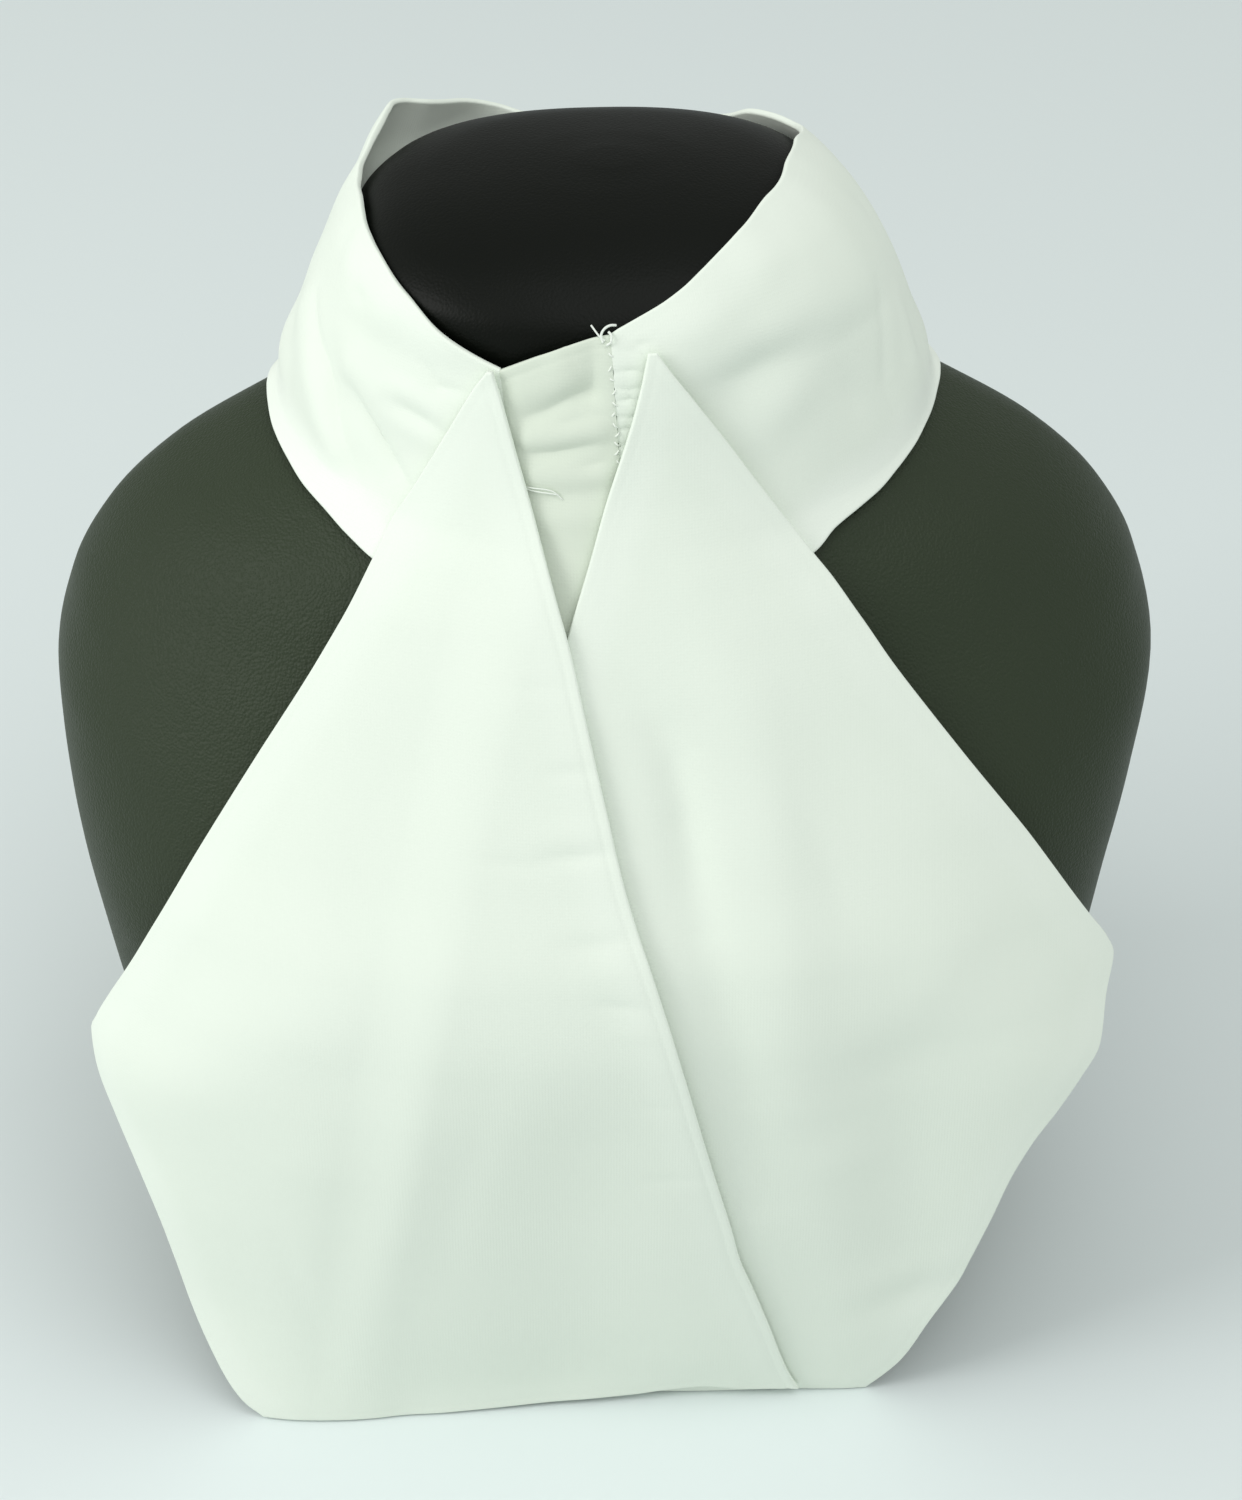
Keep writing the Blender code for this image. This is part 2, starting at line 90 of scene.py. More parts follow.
# Horizontal sections of the form on which the cloth drapes: z, half width, middle y, front y,
# back y, power
DRAPE = (
    (0.0, 90.0, -50.0, -89.5, 20.0, 7.00),
    (30.0, 98.0, -44.0, -93.5, 26.0, 4.20),
    (60.0, 105.0, -37.0, -95.5, 32.0, 3.60),
    (85.0, 108.5, -30.0, -96.0, 34.0, 3.20),
    (100.0, 109.0, -24.0, -95.3, 35.0, 2.80),
    (117.0, 109.5, -16.0, -92.0, 36.0, 2.50),
    (135.0, 108.6, -11.0, -83.8, 36.0, 2.30),
    (153.0, 104.6, -6.0, -75.0, 36.0, 2.15),
    (166.0, 99.0, -4.0, -69.0, 36.0, 2.05),
    (176.0, 91.0, -3.0, -64.0, 36.0, 2.00),
    (185.0, 73.6, -2.0, -59.5, 36.0, 2.00),
    (192.0, 63.2, 0.0, -56.0, 37.0, 2.00),
    (199.0, 61.4, 0.0, -52.7, 38.0, 2.00),
    (207.0, 58.8, 0.0, -50.0, 38.5, 2.00),
    (217.0, 55.3, 0.0, -47.5, 39.0, 2.00),
    (226.0, 50.7, 0.0, -44.5, 39.0, 2.20),
    (233.0, 45.4, 0.0, -38.8, 38.0, 2.20),
    (237.0, 40.0, 0.0, -34.0, 36.0, 2.10),
    (240.0, 34.0, 0.0, -29.0, 33.0, 2.00),
    (243.0, 24.0, 0.0, -21.0, 28.0, 2.00),
)

# Edges of the collar halves: angle from the front, height
LEFT_TOP = (
    (-205.0, 224.5), (-180.0, 224.5), (-165.0, 226.0), (-150.0, 229.5), (-138.0, 232.5),
    (-129.0, 234.0), (-121.0, 233.0), (-112.0, 231.4), (-99.0, 230.5), (-88.0, 231.3),
    (-68.0, 230.6), (-50.0, 228.2), (-37.0, 224.6), (-31.0, 223.0), (-22.0, 220.6),
)
LEFT_BOTTOM = (
    (-205.0, 185.0), (-180.0, 184.5), (-150.0, 185.5), (-120.0, 187.0), (-105.0, 188.8),
    (-95.0, 189.3), (-85.3, 189.4), (-76.7, 189.1), (-68.1, 188.6), (-60.3, 187.8),
    (-52.0, 186.8), (-44.0, 185.2), (-36.3, 183.3), (-10.0, 180.0),
)
RIGHT_TOP = (
    (-2.5, 227.0), (0.5, 228.7), (8.5, 231.5), (19.0, 234.8), (27.0, 236.5), (36.0, 237.8),
    (56.0, 239.4), (75.0, 239.5), (99.0, 237.9), (110.0, 235.5), (122.0, 233.2), (135.0, 231.8),
    (144.0, 230.5), (152.0, 228.0), (165.0, 225.5), (180.0, 224.5), (200.0, 224.5),
)
RIGHT_BOTTOM = (
    (-3.0, 179.5), (12.0, 181.3), (29.1, 185.1), (35.5, 187.4), (42.5, 188.5), (48.3, 189.1),
    (54.8, 189.9), (62.0, 190.5), (70.6, 190.9), (78.7, 190.8), (87.8, 190.1), (105.0, 188.8),
    (120.0, 187.2), (150.0, 185.5), (180.0, 184.5), (200.0, 184.5),
)
LEFT_END_ANGLE = -202.0
RIGHT_END_ANGLE = 196.0
CLOSURE_RAMP = (-158.0, -140.0)

# Where the collar stands off the form: angle, reach, share of height at which it is full, push
LEFT_STAND_OFF = ((-95.0, 55.0, 0.0, 1.3),)
RIGHT_STAND_OFF = ((100.0, 50.0, 0.5, -1.9), (130.0, 38.0, 0.4, -1.5))

# Further push of the left half's top edge, with the corner where it bends round: angle, push
LEFT_FLARE = (
    (-205.0, 0.0), (-172.0, 0.3), (-165.0, 1.2), (-160.0, 3.8), (-153.0, 4.7), (-142.0, 5.3),
    (-134.0, 7.3), (-130.6, 7.7), (-127.0, 6.5), (-122.5, 4.6), (-117.0, 2.9), (-112.0, 1.6),
    (-107.0, 0.7), (-100.0, -0.6), (-89.0, -1.1), (-78.0, -1.2), (-66.0, -0.6), (-50.0, 0.0),
    (-20.0, 0.0),
)
# How the push grows with the share of the height
FLARE_POWER = 1.1

# Folds of the collar: angle and height at both ends, half width, rise
LEFT_FOLDS = (
    (-84.0, 211.0, -58.0, 196.0, 5.0, 1.1),
    (-66.0, 208.0, -44.0, 197.0, 4.5, -0.9),
    (-58.0, 211.0, -36.0, 207.0, 4.0, 1.0),
    (-118.0, 222.0, -112.0, 198.0, 6.0, -1.2),
    (-152.0, 222.0, -146.0, 197.0, 6.0, 1.0),
)
RIGHT_FOLDS = (
    (27.0, 219.0, 14.0, 213.0, 5.0, -1.0),
    (62.0, 226.0, 66.0, 204.0, 9.0, 0.8),
    (118.0, 220.0, 122.0, 198.0, 6.0, 0.8),
    (150.0, 220.0, 146.0, 196.0, 6.0, -0.7),
)

# Seams between the throat panel and the collar halves: height, x
LEFT_SEAM = (
    (160.0, -13.0), (182.0, -15.5), (198.0, -17.9), (208.6, -19.4), (214.0, -20.1),
    (221.0, -21.0),
)
RIGHT_SEAM = ((160.0, 2.0), (182.0, 1.0), (209.0, -0.6), (217.0, -1.0), (228.0, -1.6))
# Heights near which a seam meets the collar's lower and upper edge
SEAM_ENDS = (182.0, 222.0)

# Throat panel: height at the left and the right end of the top edge, and of the bottom
THROAT_TOP = (220.6, 227.6)
THROAT_ARCH = 1.1
THROAT_BOTTOM = (163.0, 163.0)

# Gathers across the throat panel: height at the left, height at the right, half width, rise
THROAT_GATHERS = (
    (216.6, 222.4, 2.6, 0.6), (208.2, 211.6, 2.7, 0.9), (202.2, 204.0, 2.5, 0.8),
    (195.0, 197.2, 2.6, 0.4),
)

# Left tail, the upper one: height, outer edge x, inner edge x
LEFT_TAIL = (
    (0.4, -75.0, 34.6), (4.0, -79.3, 33.2), (15.0, -84.9, 30.4), (25.5, -88.2, 27.7),
    (38.0, -90.6, 24.1), (48.0, -92.6, 21.1), (55.5, -94.6, 19.6), (70.5, -99.4, 16.2),
    (82.0, -102.6, 13.6), (87.5, -103.0, 12.4), (91.0, -101.8, 11.6), (98.0, -98.5, 10.0),
    (108.5, -92.9, 7.4), (118.5, -87.5, 4.6), (135.5, -77.5, -0.8), (151.0, -67.4, -4.4),
    (165.0, -57.9, -7.5), (176.3, -50.4, -10.0), (186.2, -43.8, -12.8), (196.7, -37.1, -15.7),
    (205.4, -32.2, -18.1), (217.5, -25.6, -21.2), (221.3, -23.2, -22.3),
)

# How far the left hem is lifted off the floor: x, lift; and the height below which it shows
LEFT_HEM = (
    (-40.0, 0.0), (-20.0, 0.6), (0.0, 1.6), (8.0, 2.8), (15.0, 3.5), (23.0, 2.3), (35.0, 2.1),
)
HEM_REACH = 16.0

# Right tail, the lower one: height, inner edge x, outer edge x
RIGHT_TAIL = (
    (0.4, -44.0, 48.6), (9.5, -43.0, 55.3), (20.4, -41.7, 60.0), (32.7, -40.3, 66.0),
    (39.7, -39.4, 67.9), (50.0, -38.0, 70.9), (61.4, -36.3, 74.2), (70.4, -34.9, 78.3),
    (76.8, -33.8, 82.6), (83.6, -32.7, 87.0), (88.0, -32.0, 90.4), (97.3, -30.4, 91.7),
    (103.6, -29.1, 93.1), (107.0, -28.3, 91.8), (113.7, -26.8, 87.6), (125.4, -24.1, 80.0),
    (134.3, -21.8, 73.9), (149.6, -17.9, 62.2), (158.3, -15.6, 55.6), (167.5, -13.2, 48.7),
    (175.4, -10.9, 43.1), (181.5, -8.8, 38.4), (189.2, -6.1, 31.8), (199.3, -2.9, 24.6),
    (210.0, 0.7, 17.5), (218.7, 3.2, 11.4), (225.6, 4.8, 6.4),
)

# Soft folds of the tails: x and height at both ends, half width, rise
LEFT_TAIL_FOLDS = (
    (-96.0, 84.0, -55.0, 112.0, 11.0, 1.0),
    (-66.0, 4.0, -60.0, 70.0, 12.0, 1.1),
    (-78.0, -8.0, -66.0, -8.0, 18.0, 5.0),
    (-36.0, -8.0, -12.0, -8.0, 12.0, 2.6),
)
RIGHT_TAIL_FOLDS = (
    (84.0, 88.0, 60.0, 112.0, 9.0, 0.9),
    (58.0, 34.0, 48.0, 92.0, 10.0, -1.2),
    (44.0, 6.0, 40.0, 70.0, 10.0, 0.9),
    (-12.0, 2.0, -8.0, 80.0, 15.0, -1.2),
)
LAYER_RAMP = (-22.0, -6.0)
LAYER_HEIGHTS = (179.0, 206.0)

# Creases of the cloth: half width, rise, and the points of the line that each one follows.
# The collar's lines are in degrees from the front and height, the others in x and height.
LEFT_CREASES = (
    (1.5, -0.85, ((-80.2, 215.3), (-64.2, 205.6), (-54.8, 197.1), (-49.7, 191.2))),
    (3.0, 0.70, ((-76.5, 209.7), (-64.5, 202.1), (-57.4, 195.8))),
    (1.5, -0.85, ((-56.5, 208.1), (-48.4, 202.7), (-43.2, 198.6), (-37.7, 194.5))),
    (2.2, 0.50, ((-58.2, 204.4), (-50.2, 199.4), (-44.0, 195.0))),
    (1.9, -1.00, ((-46.1, 209.0), (-41.7, 208.9), (-36.8, 208.1), (-32.5, 206.7))),
    (1.8, 0.55, ((-47.0, 212.6), (-41.0, 212.2), (-33.0, 210.2))),
    (1.4, -0.50, ((-39.9, 218.3), (-36.1, 214.7), (-30.1, 215.2))),
    (1.6, -0.36, ((-66.7, 223.6), (-60.9, 223.0))),
    (3.2, 0.45, ((-78.9, 231.0), (-76.1, 227.7), (-70.0, 225.0))),
    (1.8, -0.40, ((-40.9, 189.7), (-37.8, 188.7))),
    (3.0, -0.20, ((-81.0, 201.0), (-74.9, 196.0))),
    (2.4, -0.20, ((-110.0, 226.0), (-107.0, 214.0), (-110.0, 204.0))),
    (2.4, -0.40, ((-124.0, 224.0), (-119.0, 210.0), (-121.0, 196.0))),
    (1.8, -0.30, ((-141.0, 221.0), (-147.0, 205.0))),
    (2.6, 0.35, ((-133.0, 226.0), (-131.0, 208.0), (-136.0, 196.0))),
    (2.2, -0.30, ((-171.0, 214.0), (-183.0, 201.0))),
    (5.0, 1.00, ((-120.0, 198.5), (-96.0, 199.0), (-76.0, 198.0))),
)
RIGHT_CREASES = (
    (4.0, -0.80, ((42.0, 222.0), (30.9, 218.8), (24.3, 216.0), (18.5, 211.5))),
    (4.4, 0.70, ((24.0, 205.0), (31.0, 210.0), (41.0, 215.0))),
    (3.0, 0.16, ((41.1, 233.4), (26.2, 229.6), (11.0, 227.0))),
    (3.0, -0.34, ((43.2, 231.0), (30.1, 228.6), (15.0, 225.2))),
    (2.0, -0.52, ((66.0, 222.0), (62.5, 216.7), (57.9, 205.9), (59.0, 200.0))),
    (3.0, 0.48, ((74.0, 214.0), (70.0, 204.0), (72.0, 196.0))),
    (2.4, -0.40, ((47.0, 212.0), (48.8, 202.3))),
    (2.2, -0.24, ((84.0, 232.0), (87.0, 229.0), (85.0, 225.0))),
    (3.2, -0.45, ((18.0, 209.0), (22.0, 203.0), (25.0, 196.5))),
    (1.8, -0.35, ((104.0, 230.0), (100.0, 216.0), (103.0, 203.0))),
    (2.4, -0.40, ((127.0, 225.0), (121.0, 211.0), (124.0, 198.0))),
    (2.0, 0.30, ((140.0, 222.0), (136.0, 206.0))),
    (1.7, -0.30, ((152.0, 219.0), (158.0, 203.0))),
    (4.5, 0.50, ((80.0, 199.0), (97.0, 199.5), (116.0, 199.0))),
    (0.55, -0.30, ((-0.2, 227.2), (2.4, 225.9), (5.6, 226.3))),
    (0.55, -0.28, ((0.2, 225.2), (3.0, 224.9), (5.4, 222.9))),
    (0.65, -0.34, ((-1.2, 221.7), (2.4, 221.9), (5.4, 220.9))),
    (0.60, -0.30, ((-1.1, 218.9), (1.6, 218.5), (4.9, 219.0))),
    (0.65, -0.36, ((-1.0, 216.5), (2.0, 216.9), (4.5, 216.2))),
    (0.60, -0.32, ((-0.9, 213.9), (1.4, 213.5), (4.0, 213.9))),
    (0.65, -0.34, ((-0.8, 211.3), (1.2, 211.6), (3.4, 211.0))),
    (0.60, -0.28, ((-0.7, 208.8), (0.9, 208.5), (2.6, 208.9))),
)
THROAT_CREASES = (
    (1.9, -0.80, ((-19.4, 211.0), (-13.3, 213.8), (-9.2, 216.6), (-2.6, 217.7))),
    (1.6, -0.65, ((-19.0, 206.2), (-11.6, 207.1), (-4.0, 209.5), (-1.6, 208.5))),
    (1.0, -0.30, ((-7.8, 204.4), (-1.6, 205.7))),
    (3.0, 0.55, ((-13.5, 221.8), (-8.8, 224.4))),
    (3.4, -1.45, ((-7.2, 216.0), (-4.0, 221.0), (-3.2, 225.0))),
    (1.0, -0.25, ((-12.0, 211.6), (-6.0, 213.2))),
    (0.8, -0.22, ((-5.0, 214.0), (-1.2, 213.8))),
    (1.4, -0.35, ((-18.6, 216.0), (-18.9, 205.0), (-17.4, 196.0))),
    (3.4, 0.40, ((-8.0, 200.0), (-7.0, 190.0))),
)
LEFT_TAIL_CREASES = (
    (1.0, -0.14, ((-23.0, 169.6), (-9.4, 169.9))),
    (1.1, -0.26, ((-15.0, 155.6), (-5.3, 156.3))),
    (1.3, -0.46, ((-16.0, 141.0), (-9.0, 141.6), (-3.0, 142.4))),
    (1.5, -0.26, ((-27.0, 140.6), (-15.0, 139.6))),
    (2.2, 0.24, ((-18.0, 144.8), (-5.0, 146.0))),
    (1.6, -0.34, ((-13.1, 126.0), (-6.0, 126.4), (0.3, 127.8))),
    (2.4, 0.22, ((-9.0, 121.4), (1.0, 121.8))),
    (1.2, -0.30, ((-6.6, 115.7), (2.5, 114.8))),
    (2.0, 0.18, ((-4.0, 110.0), (4.5, 109.6))),
    (1.3, -0.16, ((1.0, 71.4), (13.2, 72.4))),
    (1.2, -0.14, ((1.6, 92.4), (9.2, 91.6))),
    (5.0, 0.42, ((-34.6, 119.0), (-42.5, 74.0), (-49.6, 44.2), (-56.5, 11.0))),
    (7.0, -0.36, ((-36.0, 165.0), (-47.6, 136.7), (-53.0, 112.0))),
    (6.0, -0.34, ((-78.0, 118.0), (-88.0, 100.0))),
    (4.0, -0.20, ((-24.0, 104.0), (-33.0, 70.0), (-38.0, 40.0))),
    (6.5, 0.80, ((-7.0, 158.0), (-2.0, 138.0), (7.0, 105.0), (15.5, 72.0))),
    (3.0, -0.20, ((-70.0, 60.0), (-62.0, 22.0))),
)
RIGHT_TAIL_CREASES = (
    (4.2, -0.75, ((-8.5, 175.0), (2.4, 165.7), (8.1, 156.9), (12.0, 138.0))),
    (4.5, -1.10, ((7.0, 159.0), (10.0, 148.0), (13.5, 128.0))),
    (5.5, -1.30, ((9.5, 142.0), (15.2, 114.8), (20.9, 84.0), (24.5, 64.0))),
    (8.0, 1.25, ((13.6, 182.0), (20.7, 166.2), (25.2, 149.1), (29.2, 122.0), (31.8, 90.0))),
    (16.0, -1.60, ((74.0, 122.0), (58.2, 96.7), (50.4, 60.3), (44.0, 30.0))),
    (5.0, 0.35, ((44.0, 34.0), (66.0, 41.0))),
    (4.0, -0.26, ((44.0, 26.0), (60.0, 31.0))),
    (3.0, -0.20, ((30.0, 150.0), (40.0, 128.0))),
    (2.6, 0.24, ((2.0, 219.0), (-2.8, 199.0), (-7.6, 180.0))),
)

# Sewing thread of the stitches: thickness, lift of its middle and sink of its ends
STITCH_THREAD = 0.32
STITCH_LIFT = 0.08
STITCH_SINK = -0.25
# Sides of a thread's section and the step between its sections
THREAD_SIDES = 8
THREAD_STEP = 0.25
# Height above which threads stand off as at this height
THREAD_CEILING = 227.0
# Stitches down the right throat seam: height, start and end beside the seam, drop, stand-off
STITCHES = (
    (225.4, -0.7, 0.4, -0.9, 0.10), (223.2, -0.2, -0.9, -1.2, 0.14), (221.0, -0.8, 0.3, -0.5, 0.10),
    (219.0, 0.3, -0.5, -1.1, 0.12), (216.9, -0.6, 0.5, -1.0, 0.15), (215.0, -0.1, -0.9, -0.9, 0.12),
    (213.2, -0.8, 0.2, -1.2, 0.14), (211.2, 0.4, -0.5, -0.8, 0.10), (209.6, -0.7, 0.4, -1.0, 0.14),
    (208.0, 0.2, -0.8, -1.1, 0.12), (206.2, -0.5, 0.3, -0.7, 0.10),
)
# Loose ends of sewing thread: thickness, and points as x, height and stand-off
LOOSE_THREADS = (
    (0.34, ((-5.0, 229.2, -0.3), (-4.4, 228.7, 0.1), (-3.6, 228.0, 0.4), (-2.6, 227.3, 0.3))),
    (0.46, ((-3.0, 227.0, 0.3), (-3.3, 228.2, 0.6), (-2.7, 229.2, 0.7), (-1.6, 229.6, 0.5),
            (-0.6, 229.4, 0.0))),
    (0.46, ((-2.4, 226.7, 0.4), (-1.6, 227.4, 0.8), (-1.5, 228.2, 0.6), (-2.0, 228.7, 0.4))),
    (0.28, ((-19.0, 201.6, 0.2), (-16.6, 200.6, 0.5), (-14.0, 200.5, 0.6), (-11.4, 200.2, 0.4))),
    (0.24, ((-17.6, 200.8, 0.3), (-15.0, 201.3, 0.7), (-12.6, 200.9, 0.5), (-10.6, 199.3, 0.3))),
)

# Distances from an edge at which a cloth sheet has rows of points
EDGE_STEPS = (0.0, 0.05, 0.16, 0.3, 0.42, 0.7, 1.1, 1.5, 1.9, 2.3, 2.8)
# Line pressed beside a turned edge: distance from the edge and half width
PRESSED_LINE = (1.9, 0.4)
# Turnings inside the cloth: how wide they are and over what width they fade
TURNING = (7.4, 3.0)
# Groove at a seam: half width and depth
SEAM_GROOVE = 0.55
SEAM_DEPTH = 0.06
# Height of the random waves of the surface: collar, throat panel, tails
COLLAR_WAVE = 0.08
THROAT_WAVE = 0.05
TAIL_WAVE = 0.10
# Nominal length and number of even rows across a collar half, the throat panel and a tail
COLLAR_ROWS = (44.0, 74)
COLLAR_COLUMNS = (190.0, 290)
THROAT_ROWS = (60.0, 130)
THROAT_COLUMNS = (20.0, 40)
TAIL_ROW_COUNT = 200
TAIL_COLUMN_COUNT = 110
# Millimetres of cloth for a degree round the neck
MM_PER_DEGREE = 0.9
# Rings and points of the bust, and the radius of its lower edge
BUST_RINGS = 150
BUST_POINTS = 181
BASE_RADIUS = 1.2


def curve(xs, ys, x):
    """Shape-keeping cubic through the points of a table."""
    xs = np.asarray(xs, float)
    ys = np.asarray(ys, float)
    step = np.diff(xs)
    slope = np.diff(ys) / step
    tangent = np.zeros_like(ys)
    tangent[0] = slope[0]
    tangent[-1] = slope[-1]
    for i in range(1, len(xs) - 1):
        if slope[i - 1] * slope[i] > 0.0:
            before = 2.0 * step[i] + step[i - 1]
            after = step[i] + 2.0 * step[i - 1]
            tangent[i] = (before + after) / (before / slope[i - 1] + after / slope[i])
    x = np.clip(x, xs[0], xs[-1])
    i = np.clip(np.searchsorted(xs, x) - 1, 0, len(xs) - 2)
    t = (x - xs[i]) / step[i]
    start = (2 * t**3 - 3 * t**2 + 1) * ys[i] + (t**3 - 2 * t**2 + t) * step[i] * tangent[i]
    end = (-2 * t**3 + 3 * t**2) * ys[i + 1] + (t**3 - t**2) * step[i] * tangent[i + 1]
    return start + end


def look_up(table, column, key):
    """Values of one column of a table at keys of its first column."""
    return curve([row[0] for row in table], [row[column] for row in table], key)


def smooth_step(low, high, value):
    """0 below low, 1 above high and an even rise between."""
    t = np.clip((value - low) / (high - low), 0.0, 1.0)
    return t * t * (3.0 - 2.0 * t)


def section(table, z, offset):
    """Half width, middle, front depth, back depth and power of a section, moved outwards."""
    half_width, mid_y, front_y, back_y, power = [look_up(table, k, z) for k in range(1, 6)]
    return half_width + offset, mid_y, mid_y - front_y + offset, back_y - mid_y + offset, power


def around(table, angle, z, offset):
    """Points of the sections at angles from the front, positive towards +X."""
    half_width, mid_y, front, back, power = section(table, z, offset)
    s = np.sin(np.radians(angle))
    c = np.cos(np.radians(angle))
    x = half_width * np.copysign(np.abs(s) ** (2.0 / power), s)
    depth = np.where(c > 0.0, front, back)
    y = mid_y - depth * np.copysign(np.abs(c) ** (2.0 / power), c)
    return np.stack(np.broadcast_arrays(x, y, z), axis=-1)


def in_front(x, z, offset):
    """Points on the front of the drape at given x."""
    half_width, mid_y, front, _, power = section(DRAPE, z, offset)
    share = np.minimum(np.abs(x) / half_width, 0.999)
    y = mid_y - front * (1.0 - share**power) ** (1.0 / power)
    return np.stack(np.broadcast_arrays(x, y, z), axis=-1)


def fold_rise(folds, a, b, scale=1.0):
    """Sum of the folds at points (a, b); scale turns the first measure into millimetres."""
    total = np.zeros(np.broadcast(a, b).shape)
    for a0, b0, a1, b1, half_width, rise in folds:
        along = ((a1 - a0) * scale, b1 - b0)
        da = (a - a0) * scale
        db = b - b0
        t = np.clip((da * along[0] + db * along[1]) / (along[0] ** 2 + along[1] ** 2), 0.0, 1.0)
        away = np.hypot(da - t * along[0], db - t * along[1])
        total = total + rise * np.exp(-((away / half_width) ** 2))
    return total


def crease_rise(creases, a, b, scale=1.0):
    """Sum of the creases at points (a, b), each one fading towards its ends."""
    total = np.zeros(np.broadcast(a, b).shape)
    for half_width, rise, line in creases:
        points = np.array(line) * (scale, 1.0)
        steps = np.diff(points, axis=0)
        sizes = np.hypot(steps[:, 0], steps[:, 1])
        nearest = np.full(total.shape, 1e9)
        place = np.zeros(total.shape)
        start = 0.0
        for point, step, size in zip(points, steps, sizes):
            da = a * scale - point[0]
            db = b - point[1]
            t = np.clip((da * step[0] + db * step[1]) / size**2, 0.0, 1.0)
            away = np.hypot(da - t * step[0], db - t * step[1])
            place = np.where(away < nearest, (start + t * size) / sizes.sum(), place)
            nearest = np.minimum(away, nearest)
            start += size
        fade = 0.35 + 0.65 * np.sin(math.pi * place)
        total = total + rise * fade * np.exp(-((nearest / half_width) ** 2))
    return total


def outward(grid):
    """Unit normals of a grid of points."""
    down = np.gradient(grid, axis=0)
    across = np.gradient(grid, axis=1)
    normal = np.cross(down, across)
    length = np.linalg.norm(normal, axis=2, keepdims=True)
    return normal / np.maximum(length, 1e-9)


def spread(length, middle, near=EDGE_STEPS, far=EDGE_STEPS):
    """Positions across a length: close steps at both edges and even ones between, as shares."""
    scale = np.minimum(1.0, length / (2.2 * (near[-1] + far[-1]) + 1e-9))
    first = np.asarray(near) * scale / length
    last = 1.0 - np.asarray(far)[::-1] * scale / length
    between = np.linspace(first[-1], last[0], middle + 2)[1:-1]
    return np.concatenate((first, between, last))


def edge_distance(points, line):
    """Distance of each point of a grid from an open line of points."""
    flat = points.reshape(-1, 3)
    best = np.full(len(flat), 1e9)
    for a, b in zip(line[:-1], line[1:]):
        along = b - a
        size = float(along @ along)
        if size < 1e-12:
            continue
        t = np.clip((flat - a) @ along / size, 0.0, 1.0)
        gap = np.linalg.norm(flat - a - t[:, None] * along, axis=1)
        best = np.minimum(best, gap)
    return best.reshape(points.shape[:2])


def wrinkle(a, b, seed, terms=9, low=0.02, high=0.09):
    """Soft random waves over the measures a and b in millimetres, about -1 to 1."""
    rng = np.random.default_rng(seed)
    total = np.zeros(np.broadcast(a, b).shape)
    for _ in range(terms):
        pitch = 2.0 * math.pi * rng.uniform(low, high)
        turn = rng.uniform(0.0, math.pi)
        phase = rng.uniform(0.0, 2.0 * math.pi)
        total = total + np.sin(pitch * (a * math.cos(turn) + b * math.sin(turn)) + phase)
    return total / math.sqrt(terms)


def add_mesh(name, points, faces, mat):
    """A smooth mesh from points in table millimetres."""
    mesh = bpy.data.meshes.new(name)
    placed = (np.asarray(points, float) + SHIFT) * MM
    mesh.from_pydata([tuple(p) for p in placed], [], faces)
    mesh.materials.append(mat)
    for polygon in mesh.polygons:
        polygon.use_smooth = True
    mesh.update()
    obj = bpy.data.objects.new(name, mesh)
    bpy.context.scene.collection.objects.link(obj)
    return obj


